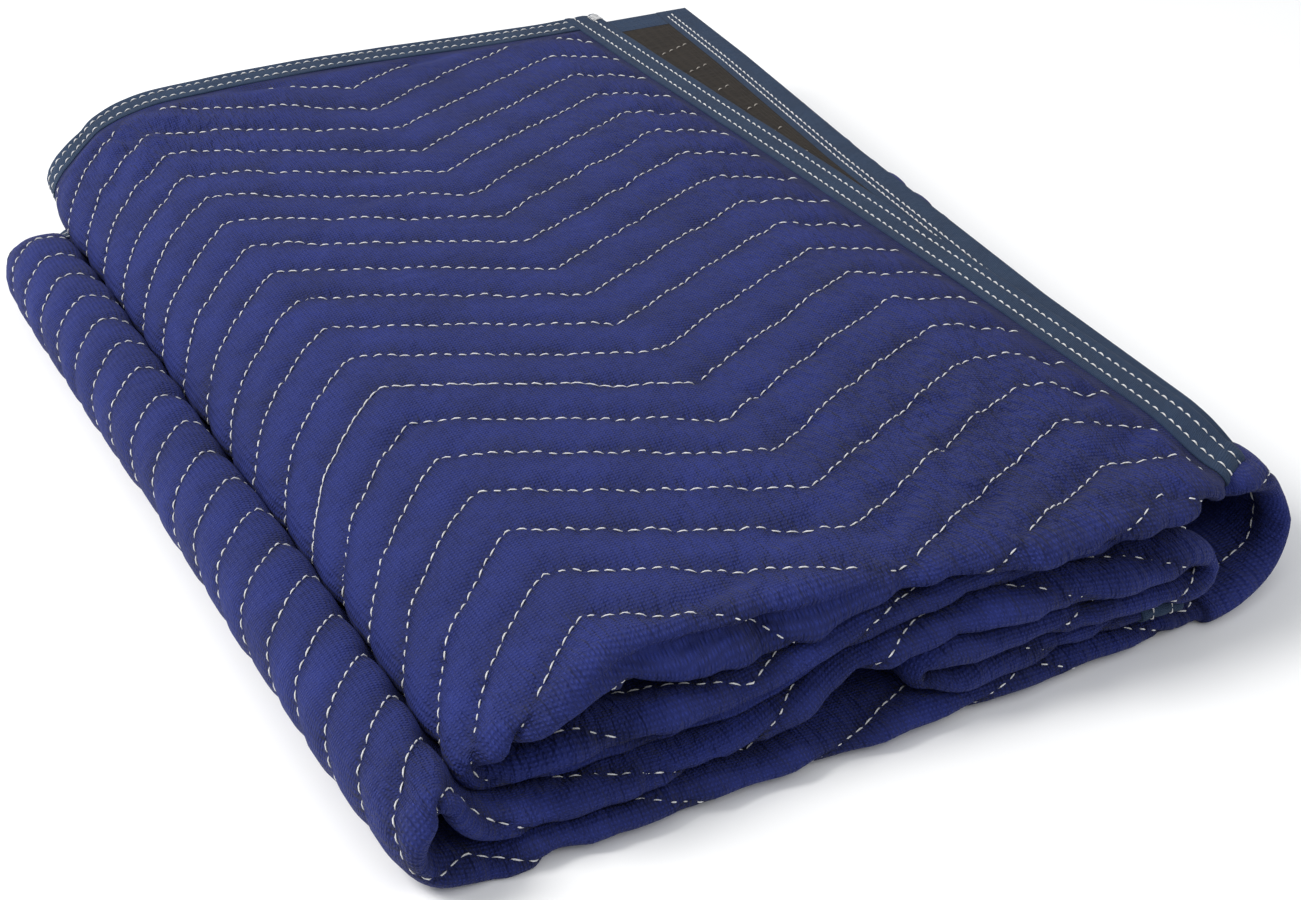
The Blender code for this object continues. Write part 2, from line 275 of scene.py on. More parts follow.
# Arc length of the strip's middle from the quilting's left peak column, along the path.
_x = plain_x(STATIONS, 0.3, 0.5)
_steps = np.hypot(np.diff(_x), np.diff(STATIONS[:, Z]))
ALONG = np.concatenate([[0.0], np.cumsum(_steps)])
TOP_RUN = int(np.argmax(_x < -20.0))
ALONG -= np.interp(0.0, -_x[:TOP_RUN], ALONG[:TOP_RUN])


def station_near(x, z):
    return int(np.argmin(np.hypot(_x - x, STATIONS[:, Z] - z)))


UPPER_END = station_near(-33, 19.0)
RIGHT_START = station_near(225, 36.5)
RIGHT_END = station_near(222, 3.6)
LOWER_START = station_near(-40, 3.6)
LOWER_TOP = station_near(-61, 26.8)
LOWER_END = station_near(-48, 14.4)

# ---------------------------------------------------------------- rows across the cloth
BODY_ROWS = 185
FRONT_ROWS = 12
FOLD_STEP = 10
EDGE_INSETS = (1.0, 4.0, 8.0, 12.5, 17.3, 18.2, 19.4)
FOLD_ARC = 5.5

Row = namedtuple("Row", "inset depth angle")


def rows_across():
    edge = [Row(inset, None, 0) for inset in EDGE_INSETS]
    depths = np.linspace(0.955, 0.055, BODY_ROWS).tolist()
    depths += np.linspace(0.055, 0.0, FRONT_ROWS)[1:].tolist()
    ply_a = edge + [Row(None, depth, 0) for depth in depths]
    fold = [Row(None, 0.0, angle) for angle in range(FOLD_STEP, 180, FOLD_STEP)]
    ply_b = [row._replace(angle=180) for row in reversed(ply_a)]
    return ply_a + fold + ply_b


# Places where the lying cloth leaves the CAD's plain folds: middle of each and its half widths,
# along the strip and in depth, and the shift there.
Nudge = namedtuple("Nudge", "along width place reach dx dz")


def nudges():
    lower, bottom = ALONG[LOWER_TOP], ALONG[RIGHT_END]
    return (
        Nudge(34, 16, 452, 34, -1.0, 4.5),
        Nudge(-85, 75, 470, 60, 0.0, 3.2),
        Nudge(lower - 12, 20, 430, 27, 4.0, -16.0),
        Nudge(lower + 12, 13, 430, 27, 0.0, -10.0),
        Nudge(lower - 24, 20, 432, 46, 7.0, -2.0),
        Nudge(lower - 24, 22, 360, 42, -3.0, 0.0),
        Nudge(bottom + 6, 24, -20, 110, -16.0, 0.0),
        Nudge(bottom - 14, 10, -30, 70, -6.0, 0.0),
        Nudge(bottom - 20, 13, -20, 110, -7.0, 1.0),
        Nudge(ALONG[RIGHT_START] + 12, 13, 438, 34, 6.0, 2.5),
        Nudge(-241, 26, -12, 18, 0.0, -5.0),
    )


# How far back the front fold of the second panel lies from the CAD's: (x, z, distance).
FRONT_SHIFTS = (
    (-36, 33.2, 0), (-45.2, 25.3, 3), (-44.2, 21.6, 6), (-40.4, 19.4, 8), (-33, 19.0, 8),
    (-18, 19.1, 7),
    (20, 20.4, 5), (45, 23.2, 3), (75, 31.8, 0), (150, 36.5, 2), (222, 36.5, 14), (260, 28.0, 5), (264, 20.0, 0),
    (222, 3.6, 0), (180, 3.6, -2.5), (-20, 3.6, -2.5), (-60, 3.6, 0),
)
FRONT_AT = np.array([ALONG[station_near(x, z)] for x, z, shift in FRONT_SHIFTS])
FRONT_BY = np.array([shift for x, z, shift in FRONT_SHIFTS])


# Fat folds at the front, where ply b bellies out past the pressed thickness: (along, belly).
def belly_table():
    second = [(-18, 19.1, 4.5), (20, 20.4, 6.0), (45, 23.2, 5.0), (75, 31.8, 1.5), (104, 36.5, 0.0)]
    table = [(-100, 0), (-85, 2), (-65, 7.2), (-45, 10), (-20, 10), (0, 6), (20, 0)]
    table += [(ALONG[station_near(-33, 19.0)], 0.0)]
    table += [(ALONG[station_near(x, z)], belly) for x, z, belly in second]
    return zip(*table)


BELLY_AT, BELLY = (np.array(column) for column in belly_table())
BELLY_RUN = 45.0

ROWS = rows_across()
EDGE = len(EDGE_INSETS)
HALF = EDGE + BODY_ROWS + FRONT_ROWS - 1


def middle(rows, table, along=ALONG):
    """x, place, z and normal of the strip's middle for every row and station."""
    angle = np.array([row.angle for row in rows])[:, None]
    ply = angle / 180.0
    shift = np.interp(along, FRONT_AT, FRONT_BY, left=0.0, right=0.0)
    front = (table[:, FRONT] + FOLD_DEPTH * FACE_OUT + shift)[None, :]
    back = np.where(angle < 90, table[None, :, BACK_A], table[None, :, BACK_B])
    place = np.empty((len(rows), len(table)))
    for index, row in enumerate(rows):
        if row.inset is None:
            place[index] = front[0] + row.depth * (back[index] - front[0])
        else:
            place[index] = back[index] - row.inset
    depth = np.clip((place - FRONT_LINE) / STRIP_DEPTH, 0.0, 1.0)
    x = np.broadcast_to(table[None, :, X], place.shape).copy()
    for index, side in enumerate(SIDES):
        x += table[None, :, SHARE + index] * at_depth(SHIFTS[side], depth)
    for column in (TOP_END, FAR_END):
        x += table[None, :, column] * end_at(column, depth, ply)
    lowest = np.minimum(table[:, BACK_A], table[:, BACK_B])[None, :]
    drop = np.clip(1 - (lowest - place) / SAG_RUN, 0.0, 1.0)
    z = table[None, :, Z] - table[None, :, SAG] * drop * drop * (3 - 2 * drop)
    for n in nudges():
        near = np.exp(-(((along - n.along) / n.width) ** 2))[None, :]
        near = near * np.exp(-(((place - n.place) / n.reach) ** 2))
        x, z = x + n.dx * near, z + n.dz * near
    dx, dz = np.gradient(x, axis=1), np.gradient(z, axis=1)
    length = np.hypot(dx, dz)
    return x, place, z, dz / length, -dx / length, front


# Nothing lies lower than the gap, and what lies inside the cloth stays above its outside.
FLOOR_GAP, FLOOR_LIFT = 0.1, 3.3


def placed(rows, mid, lift, belly=0.0):
    """Points at a lift from the strip's middle, on the outside of either ply."""
    x, place, z, nx, nz, _ = mid
    degrees = np.array([row.angle for row in rows])[:, None]
    angle = np.radians(degrees)
    offset = lift * np.cos(angle) - belly * (1 - np.cos(angle)) / 2
    crease = np.exp(-(((degrees - 70.0) / 14.0) ** 2))
    fat = np.exp(-(((degrees - 125.0) / 35.0) ** 2))
    y = place - FOLD_DEPTH * lift * np.sin(angle) + belly * (0.55 * crease - 0.35 * fat)
    floor = FLOOR_GAP + np.clip(FLOOR_LIFT - np.abs(lift), 0.0, FLOOR_LIFT)
    return np.stack([x + nx * offset, y, np.maximum(z + nz * offset, floor)], -1)


def front_belly(mid):
    """How far ply b bellies out at each row and station, fading away from the front fold."""
    fade = np.clip(1 - (mid[1] - mid[5]) / BELLY_RUN, 0.0, 1.0)
    return np.interp(ALONG, BELLY_AT, BELLY, left=0.0, right=0.0)[None, :] * fade * fade * (3 - 2 * fade)


# ---------------------------------------------------------------- quilting
PITCH = 26.4
CLOSER = 26.4 / 22.93
LIMB = 49.9
VALLEY, PEAK = 95.7, 188.0


def zigzag_table():
    """(arc length, line's offset) at each bend of the quilting lines along the whole strip."""
    lower = ALONG[LOWER_TOP]
    table = [(-300, -LIMB), (-PEAK, 0), (-VALLEY, -LIMB), (0, 0), (12, -11), (23.5, -23), (34.5, -34)]
    table += [(42, -46), (50, -60), (140, -12), (235, -60), (330, -12), (425, -62)]
    table += [(lower - 235, -8), (lower - 140, -58), (lower - 46, -10), (lower - 30, -23.3), (lower, -56)]
    table += [(lower + 10, -50), (lower + 95, -6), (lower + 190, -56), (lower + 285, -6)]
    table += [(lower + 380, -56), (lower + 470, -6), (lower + 560, -56)]
    return zip(*sorted(table))


ZIG_AT, ZIG = (np.array(column) for column in zigzag_table())


def field(u, v, seed, size_u, size_v):
    """Smooth random field over cloth coordinates, with bumps about size_u by size_v mm."""
    rng = np.random.default_rng(seed)
    grid = rng.uniform(-1, 1, (256, 256))
    a, b = u / size_u + 64.0, v / size_v + 64.0
    i, j = np.floor(a).astype(int), np.floor(b).astype(int)
    s, t = a - i, b - j

    def weights(t):
        return (
            (1 - t) ** 3 / 6,
            (3 * t**3 - 6 * t**2 + 4) / 6,
            (-3 * t**3 + 3 * t**2 + 3 * t + 1) / 6,
            t**3 / 6,
        )

    out = np.zeros(np.broadcast_shapes(a.shape, b.shape))
    ws, wt = weights(s), weights(t)
    for m in range(4):
        for n in range(4):
            out += ws[m] * wt[n] * grid[(i + m - 1) % 256, (j + n - 1) % 256]
    return out * 1.9


def cloth_coordinates(rows, mid):
    """Arc length along the strip, and distance across the cloth, for every row and station."""
    x, place, z, _, _, front = mid
    angle = np.radians(np.array([row.angle for row in rows]))[:, None]
    across = np.where(
        angle < 0.01, place,
        np.where(angle > 3.13, front - FOLD_ARC * math.pi - (place - front) * CLOSER, front - FOLD_ARC * angle),
    )
    along = np.broadcast_to(ALONG[None, :], place.shape)
    return along, across


def line_offset(along, place=None):
    """The quilting lines' offset across the cloth. The peaks of the lower roll drift with place."""
    at = along
    if place is not None:
        near = np.exp(-(((along - ALONG[LOWER_TOP]) / 40.0) ** 2))
        at = along + near * (place - 240.0) * 0.036
    spread = 2.0
    total = 0.0
    for step, weight in ((-1.0, 0.25), (0.0, 0.5), (1.0, 0.25)):
        total = total + weight * np.interp(at + step * spread, ZIG_AT, ZIG)
    return total


def seam_slope(along):
    return (line_offset(along + 6) - line_offset(along - 6)) / 12


# Creases of the top panel and its roll: ends (x, y), half width and depth in mm.
Crease = namedtuple("Crease", "x0 y0 x1 y1 width depth")
CREASES = tuple(Crease(*numbers) for numbers in (
    (150, -22, 205, 14, 5, 1.3),
    (120, -18, 160, 8, 4, 1.0),
    (170, -24, 232, 30, 5, 1.2),
    (96, -10, 126, 14, 4, 0.9),
    (186, 20, 230, 52, 4, 0.9),
    (60, 4, 104, 20, 5, 0.7),
    (128, 36, 176, 60, 5, 0.7),
    (14, -14, 60, -4, 4, 1.0),
    (-6, 436, 24, 404, 6, 1.2),
    (-22, 440, -2, 410, 5, 1.2),
    (40, 300, 70, 312, 5, 0.5),
    (150, 250, 190, 266, 5, 0.5),
    (-20, 120, 14, 132, 5, 0.5),
    (200, 330, 226, 350, 5, 0.6),
    (30, 448, 90, 440, 5, 0.8),
    (110, 440, 170, 446, 5, 0.7),
))


def creased(x, y):
    total = np.zeros_like(x)
    for c in CREASES:
        dx, dy = c.x1 - c.x0, c.y1 - c.y0
        length = math.hypot(dx, dy)
        along = ((x - c.x0) * dx + (y - c.y0) * dy) / length
        side = ((x - c.x0) * dy - (y - c.y0) * dx) / length
        ends = np.clip(1 - np.abs(along / length - 0.5) * 2, 0, 1)
        ends = ends * ends * (3 - 2 * ends)
        total -= 2.4 * c.depth * ends * np.exp(-((side / c.width) ** 2))
        total += 0.6 * c.depth * ends * np.exp(-(((side - 1.9 * c.width) / (1.2 * c.width)) ** 2))
    return total


PILLOW = 2.2
SEAM = 2.9
SEAM_HIDDEN = 2.2
LEAST_LIFT = 1.7


def relief(along, across, place):
    """Height of the padded cloth over its lowest, at the quilting lines, in mm."""
    phase = (across - line_offset(along, place)) / PITCH
    share = phase - np.floor(phase)
    bump = (4 * share * (1 - share)) ** 0.62
    away = np.where(share > 0.5, share - 1, share) * PITCH
    seam = np.exp(-((away / 5.5) ** 2))
    loose = np.clip(0.5 + 0.6 * field(along, across, 3, 80, 60), 0.0, 1.2)
    worn = np.exp(-(((along + 165) / 90) ** 2 + ((place - 25) / 75) ** 2))
    worn += 0.5 * np.exp(-(((along + 205) / 50) ** 2 + ((place - 250) / 220) ** 2))
    worn += 0.6 * np.exp(-(((along + 10) / 45) ** 2 + ((place - 425) / 50) ** 2))
    worn += 0.55 * np.exp(-(((place + 32) / 26) ** 2)) * (along > -225)
    slope = seam_slope(along)
    across_seam = along + slope * away
    puckers = field(across_seam, np.round(phase) * 50 + 0.25 * away, 11, 3.9, 9) * seam * (0.75 + 1.1 * worn)
    puckers += field(along + 0.5 * across, across, 12, 6, 22) * (0.3 + 0.9 * worn)
    broad = field(along, across, 13, 60, 45) * 0.6 + field(along, across, 14, 22, 18) * (0.3 + 0.3 * worn)
    return PILLOW * bump * (0.85 + 0.25 * loose), puckers * (0.6 + 0.6 * loose) + broad, bump, worn


# ---------------------------------------------------------------- meshes
def mesh_object(name, points, faces, material, attributes=None):
    """A mesh object from points in mm of the strip's own frame."""
    used = np.zeros(len(points), bool)
    flat = np.fromiter((i for face in faces for i in face), int)
    used[flat] = True
    index = np.cumsum(used) - 1
    sizes = np.fromiter((len(face) for face in faces), int)
    loops = index[flat]
    data = bpy.data.meshes.new(name)
    kept = (points[used] - ORIGIN) * MM
    data.vertices.add(len(kept))
    data.vertices.foreach_set("co", kept.astype(np.float32).ravel())
    data.loops.add(len(loops))
    data.loops.foreach_set("vertex_index", loops.astype(np.int32))
    data.polygons.add(len(sizes))
    starts = np.concatenate([[0], np.cumsum(sizes)[:-1]])
    data.polygons.foreach_set("loop_start", starts.astype(np.int32))
    data.update(calc_edges=True)
    data.validate()
    data.shade_smooth()
    for title, values in (attributes or {}).items():
        layer = data.attributes.new(title, "FLOAT_VECTOR", "POINT")
        layer.data.foreach_set("vector", values[used].astype(np.float32).ravel())
    data.materials.append(material)
    piece = bpy.data.objects.new(name, data)
    bpy.context.scene.collection.objects.link(piece)
    return piece


def strip_faces(ids, steps):
    """Faces of a grid of vertex ids, rows by stations. steps gives each block's number of rows
    and the rows' step in it at each station."""
    faces = []
    row = 0
    for size, step in steps:
        for i in range(ids.shape[1] - 1):
            a, b = step[i], step[i + 1]
            if a == b:
                for r in range(row, row + size, a):
                    faces.append((ids[r, i], ids[r, i + 1], ids[r + a, i + 1], ids[r + a, i]))
            else:
                left = [ids[r, i] for r in range(row + size, row - 1, -a)]
                right = [ids[r, i + 1] for r in range(row, row + size + 1, b)]
                faces.append(tuple(left + right))
        row += size
    return faces


def face_steps():
    """The face cloth's blocks of rows, as strip_faces takes them: fine only where it shows."""
    fine_a = np.full(COUNT, 4)
    fine_a[: UPPER_END + 1] = 1
    fine_b = np.full(COUNT, 4)
    fine_b[RIGHT_START : RIGHT_END + 1] = 1
    fine_b[RIGHT_END + 1 : LOWER_START] = 2
    fine_b[LOWER_START : LOWER_END + 1] = 1
    ones = np.ones(COUNT, int)
    blocks = [(EDGE, ones)]
    blocks += [(4, fine_a)] * ((BODY_ROWS - 1) // 4)
    middle_rows = 2 * (FRONT_ROWS - 1) + len(range(FOLD_STEP, 180, FOLD_STEP)) + 1
    blocks += [(middle_rows, ones)]
    blocks += [(4, fine_b)] * ((BODY_ROWS - 1) // 4)
    blocks += [(EDGE, ones)]
    return blocks


def face_lift(rows, mid, along, across):
    """Lift of the face cloth's outside, pressed flat under the bindings."""
    pillow, wrinkles, bump, worn = relief(along, across, mid[1])
    on_top = np.clip((55 - ALONG) / 15, 0, 1)[None, :]
    angles = np.array([row.angle for row in rows])[:, None]
    seam = SEAM_HIDDEN + (SEAM - SEAM_HIDDEN) * np.where(angles < 150, on_top, 0.0)
    on_floor = np.clip((ALONG - ALONG[RIGHT_END]) / 30, 0, 1)
    on_floor = on_floor * np.clip((ALONG[LOWER_START] - ALONG) / 30, 0, 1)
    pressed_down = 0.6 * on_floor[None, :] * np.clip((angles - 60) / 60, 0, 1)
    height = seam + (pillow + wrinkles) * (1 - pressed_down)
    place = mid[1]
    height = height + np.where((ALONG[None, :] < 60) & (angles < 90), creased(-along, place), 0.0)
    inset = np.array([99.0 if row.inset is None else row.inset for row in rows])[:, None]
    end_gap = np.minimum(ALONG - ALONG[0], ALONG[-1] - ALONG)[None, :]
    edge = np.minimum(inset, end_gap + 1.0)
    back_gap = np.where(angles < 90, STATIONS[None, :, BACK_A], STATIONS[None, :, BACK_B]) - place
    edge = np.minimum(edge, back_gap)
    open_share = np.clip((edge - TAPE_WIDTH) / 9.0, 0.0, 1.0)
    open_share = open_share * open_share * (3 - 2 * open_share)
    pressed = np.where(edge < TAPE_WIDTH + 0.2, FACE_PRESSED, 3.1)
    puckered = np.stack([0.5 + seam_slope(along) / 1.1, worn * open_share, open_share], -1)
    lift = np.maximum(pressed * (1 - open_share) + height * open_share, LEAST_LIFT)
    return lift, bump * open_share, puckered


ORIGIN = np.array([0.0, 0.0, 0.0])


def set_origin():
    """The strip's own frame and the CAD's differ by a shift, read from the bound end's box."""
    low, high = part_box("binding_top_end")
    depth = (BOUND_TOP.back_b - FRONT_LINE) / STRIP_DEPTH
    ORIGIN[0] = end_at(TOP_END, depth, 1.0) - high.x / MM
    ORIGIN[1] = BOUND_TOP.back_a - high.y / MM


set_origin()


# ---------------------------------------------------------------- materials
def node(tree, kind, **values):
    made = tree.nodes.new(kind)
    for key, value in values.items():
        setattr(made, key, value)
    return made


def link(tree, source, socket, target, name):
    tree.links.new(source.outputs[socket], target.inputs[name])


def maths(tree, operation, a, b=None):
    made = node(tree, "ShaderNodeMath", operation=operation)
    for slot, value in ((0, a), (1, b)):
        if value is None:
            continue
        if isinstance(value, (int, float)):
            made.inputs[slot].default_value = value
        else:
            tree.links.new(value, made.inputs[slot])
    return made.outputs[0]


def noise(tree, vector, scale, detail=2.0, rough=0.5):
    made = node(tree, "ShaderNodeTexNoise")
    made.inputs["Scale"].default_value = scale
    made.inputs["Detail"].default_value = detail
    made.inputs["Roughness"].default_value = rough
    tree.links.new(vector, made.inputs["Vector"])
    return made.outputs["Fac"]


def ramp(tree, fac, stops):
    made = node(tree, "ShaderNodeValToRGB")
    while len(made.color_ramp.elements) < len(stops):
        made.color_ramp.elements.new(0.5)
    for element, (at, colour) in zip(made.color_ramp.elements, stops):
        element.position = at
        element.color = (*colour, 1.0)
    tree.links.new(fac, made.inputs["Fac"])
    return made.outputs["Color"]


# Depth of the fine puckers beside the seams and in the worn places.
SEAM_PUCKER, WORN_PUCKER = 3.2, 7.5


def cloth_material(name, colours, dots, dot_depth, roughness, sheen, sheen_tint, weave=0.0):
    """Non-woven cloth: mottled colour, with painted shade darkening the sunk seams, and an embossed grid of
    dots.
    """
    material = bpy.data.materials.new(name)
    material.use_nodes = True
    tree = material.node_tree

    def times(a, b):
        return maths(tree, "MULTIPLY", a, b)

    def plus(a, b):
        return maths(tree, "ADD", a, b)

    shader = tree.nodes["Principled BSDF"]
    shader.inputs["Roughness"].default_value = roughness
    shader.inputs["Sheen Weight"].default_value = sheen
    shader.inputs["Sheen Roughness"].default_value = 0.45
    shader.inputs["Sheen Tint"].default_value = (*sheen_tint, 1.0)
    shader.inputs["Specular IOR Level"].default_value = 0.26
    cloth = node(tree, "ShaderNodeAttribute", attribute_name="cloth")
    parts = node(tree, "ShaderNodeSeparateXYZ")
    link(tree, cloth, "Vector", parts, 0)
    u, v, height = (parts.outputs[i] for i in range(3))
    flat = node(tree, "ShaderNodeCombineXYZ")
    tree.links.new(u, flat.inputs[0])
    tree.links.new(v, flat.inputs[1])
    place = flat.outputs[0]
    wave_u = maths(tree, "SINE", times(u, 2 * math.pi / dots))
    wave_v = maths(tree, "SINE", times(v, 2 * math.pi / dots))
    raised_u = plus(wave_u, 1.0)
    raised_v = plus(wave_v, 1.0)
    grid = maths(tree, "SUBTRACT", times(raised_u, raised_v), 1.0)
    fibres = noise(tree, place, 1.6, 4.0, 0.7)
    blotch = noise(tree, place, 0.035, 3.0, 0.6)
    streak = noise(tree, place, 0.25, 3.0, 0.6)
    tone = plus(times(blotch, 0.45), times(streak, 0.25))
    tone = plus(tone, times(fibres, 0.3))
    tone = plus(tone, times(grid, 0.07))
    # Darker where the pillow height is low: painted shade in the sunk seams.
    tone = plus(tone, times(maths(tree, "SUBTRACT", height, 1.0), 0.22))
    colour = ramp(tree, tone, colours)
    tree.links.new(colour, shader.inputs["Base Color"])
    bump = node(tree, "ShaderNodeBump")
    bump.inputs["Strength"].default_value = 1.0
    bump.inputs["Distance"].default_value = 0.001
    relief_height = times(grid, dot_depth)
    wrinkle = noise(tree, place, 0.2, 4.0, 0.6)
    relief_height = plus(relief_height, times(wrinkle, 1.3))
    gathered = node(tree, "ShaderNodeAttribute", attribute_name="pucker")
    shares = node(tree, "ShaderNodeSeparateXYZ")
    link(tree, gathered, "Vector", shares, 0)
    leaning = []
    for slope in (-0.12, 0.12):
        lean = plus(u, times(v, slope))
        line = node(tree, "ShaderNodeCombineXYZ")
        tree.links.new(times(lean, 0.34), line.inputs[0])
        tree.links.new(times(v, 0.085), line.inputs[1])
        leaning.append(noise(tree, line.outputs[0], 1.0, 3.0, 0.6))
    pucker = node(tree, "ShaderNodeMix", data_type="FLOAT")
    tree.links.new(shares.outputs[0], pucker.inputs[0])
    tree.links.new(leaning[0], pucker.inputs[2])
    tree.links.new(leaning[1], pucker.inputs[3])
    near_seam = maths(tree, "SUBTRACT", 1.2, height)
    strength = plus(times(near_seam, SEAM_PUCKER), times(shares.outputs[1], WORN_PUCKER))
    strength = times(strength, shares.outputs[2])
    relief_height = plus(relief_height, times(pucker.outputs[0], strength))
    relief_height = plus(relief_height, times(fibres, 0.05 + weave))
    tree.links.new(relief_height, bump.inputs["Height"])
    link(tree, bump, "Normal", shader, "Normal")
    return material


def thread_material(name, colours):
    material = bpy.data.materials.new(name)
    material.use_nodes = True
    tree = material.node_tree
    shader = tree.nodes["Principled BSDF"]
    shader.inputs["Roughness"].default_value = 0.6
    shader.inputs["Specular IOR Level"].default_value = 0.3
    place = node(tree, "ShaderNodeTexCoord")
    fac = noise(tree, place.outputs["Object"], 900.0, 2.0, 0.6)
    tree.links.new(ramp(tree, fac, colours), shader.inputs["Base Color"])
    bump = node(tree, "ShaderNodeBump")
    bump.inputs["Strength"].default_value = 0.5
    bump.inputs["Distance"].default_value = 0.0002
    tree.links.new(noise(tree, place.outputs["Object"], 2500.0), bump.inputs["Height"])
    link(tree, bump, "Normal", shader, "Normal")
    return material


FACE_MATERIAL = cloth_material(
    "face_cloth_navy",
    ((0.25, (0.005, 0.009, 0.058)), (0.5, (0.010, 0.018, 0.125)), (0.8, (0.018, 0.031, 0.200))),
    dots=1.3, dot_depth=0.1, roughness=0.8, sheen=0.03, sheen_tint=(0.9, 0.9, 1.0),
)
LINING_MATERIAL = cloth_material(
    "lining_brown_black",
    ((0.25, (0.010, 0.008, 0.007)), (0.5, (0.020, 0.016, 0.013)), (0.8, (0.034, 0.027, 0.021))),
    dots=1.4, dot_depth=0.08, roughness=0.9, sheen=0.02, sheen_tint=(0.8, 0.7, 0.6),
)
TAPE_MATERIAL = cloth_material(
    "binding_teal_blue",
    ((0.25, (0.008, 0.018, 0.045)), (0.5, (0.014, 0.032, 0.072)), (0.8, (0.024, 0.050, 0.100))),
    dots=0.8, dot_depth=0.06, roughness=0.75, sheen=0.04, sheen_tint=(0.8, 0.9, 1.0), weave=0.05,
)
THREAD_MATERIAL = thread_material(
    "thread_off_white", ((0.3, (0.50, 0.50, 0.50)), (0.7, (0.76, 0.76, 0.77)))
)
# A darker copy of the off-white thread: painted shade for the stitches lying in the wedge's hollow on the
# lining.
PAINTED_SHADE_THREAD_MATERIAL = thread_material(
    "thread_on_lining_painted_shade", ((0.3, (0.30, 0.27, 0.24)), (0.7, (0.46, 0.42, 0.37)))
)


# ---------------------------------------------------------------- the cloths
def build_face():
    mid = middle(ROWS, STATIONS)
    along, across = cloth_coordinates(ROWS, mid)
    lift, bump, puckered = face_lift(ROWS, mid, along, across)
    outer = placed(ROWS, mid, lift, front_belly(mid))
    ids = np.arange(outer.shape[0] * outer.shape[1]).reshape(outer.shape[:2])
    faces = strip_faces(ids, face_steps())
    cloth = np.stack([along, across, bump], -1).reshape(-1, 3)
    attributes = {"cloth": cloth, "pucker": puckered.reshape(-1, 3)}
    piece = mesh_object("face_cloth_quilted", outer.reshape(-1, 3), faces, FACE_MATERIAL, attributes)
    return piece, mid, along, across, outer


def solid_sheet(name, rows, table, out_lift, in_lift, material, chosen):
    """A thin closed sheet over the chosen rows and stations."""
    mid = middle(rows, table, chosen)
    outer, inner = placed(rows, mid, out_lift), placed(rows, mid, in_lift)
    count = outer.shape[0] * outer.shape[1]
    ids = np.arange(count).reshape(outer.shape[:2])
    faces = []
    n, m = ids.shape
    for grid, flip in ((ids, False), (ids + count, True)):
        for r in range(n - 1):
            for s in range(m - 1):
                quad = (grid[r, s], grid[r, s + 1], grid[r + 1, s + 1], grid[r + 1, s])
                faces.append(quad[::-1] if flip else quad)
    low = ids + count
    for s in range(m - 1):
        faces.append((ids[0, s + 1], ids[0, s], low[0, s], low[0, s + 1]))
        faces.append((ids[-1, s], ids[-1, s + 1], low[-1, s + 1], low[-1, s]))
    for r in range(n - 1):
        faces.append((ids[r, 0], ids[r + 1, 0], low[r + 1, 0], low[r, 0]))
        faces.append((ids[r + 1, -1], ids[r, -1], low[r, -1], low[r + 1, -1]))
    along = np.broadcast_to(chosen[None, :], mid[0].shape)
    cloth = np.stack([along, mid[1], np.ones_like(mid[1])], -1).reshape(-1, 3)
    points = np.concatenate([outer.reshape(-1, 3), inner.reshape(-1, 3)])
    return mesh_object(name, points, faces, material, {"cloth": np.concatenate([cloth, cloth])})


def build_lining():
    keep = sorted({0, COUNT - 1} | set(range(0, COUNT, 3)))
    edge = [Row(inset, None, 0) for inset in (1.0, 8.0, 17.3, 20.0)]
    body = [Row(None, depth, 0) for depth in np.linspace(0.955, 0.0, 56)]
    ply_a = edge + body
    fold = [Row(None, 0.0, angle) for angle in (30, 60, 90, 120, 150)]
    rows = ply_a + fold + [row._replace(angle=180) for row in reversed(ply_a)]
    return solid_sheet(
        "lining_cloth_sheet", rows, STATIONS[keep], LINING_OUT, LINING_IN, LINING_MATERIAL, ALONG[keep]
    )


# ---------------------------------------------------------------- bindings
STITCH_INSETS = (5.0, 12.5)
TAPE_RUN = slice(7, COUNT - 8)


def tape_section():
    """(inset, lift) round a binding folded over the cloth's edge, with its two stitched rows."""
    insets = (17.0, 16.6, 14.6, 12.5, 10.4, 7.2, 5.0, 3.0, 1.4, 0.5)
    top = []
    for inset in insets:
        dip = sum(0.45 * math.exp(-(((inset - row) / 1.3) ** 2)) for row in STITCH_INSETS)
        lift = TAPE_OUT + 0.15 - dip - (0.25 if inset > 16.8 else 0.0) - (0.35 if inset < 1.0 else 0.0)
        top.append((inset, lift))
    under = [(inset, TAPE_IN) for inset in reversed(insets)]
    nose = [(0.05, TAPE_OUT - 0.9), (0.0, (TAPE_OUT + TAPE_IN) / 2), (0.05, TAPE_IN + 0.5)]
    low, high = TAPE_IN + TAPE_THICK, TAPE_OUT - TAPE_THICK
    inside = [(17.0, low), (1.2, low), (0.8, 1.9), (1.2, high), (17.0, high)]
    return top + nose + under + inside


def ring_object(name, rings, material, cloth):
    """A closed tube through rings of points, capped at its ends."""
    rings = np.array(rings)
    n, m = rings.shape[:2]
    ids = np.arange(n * m).reshape(n, m)
    faces = []
    for r in range(n - 1):
        for s in range(m):
            t = (s + 1) % m
            faces.append((ids[r, s], ids[r, t], ids[r + 1, t], ids[r + 1, s]))
    faces.append(tuple(ids[0][::-1]))
    faces.append(tuple(ids[-1]))
    piece = mesh_object(name, rings.reshape(-1, 3), faces, material, {"cloth": cloth.reshape(-1, 3)})
    piece.data.set_sharp_from_angle(angle=math.radians(60))
    return piece


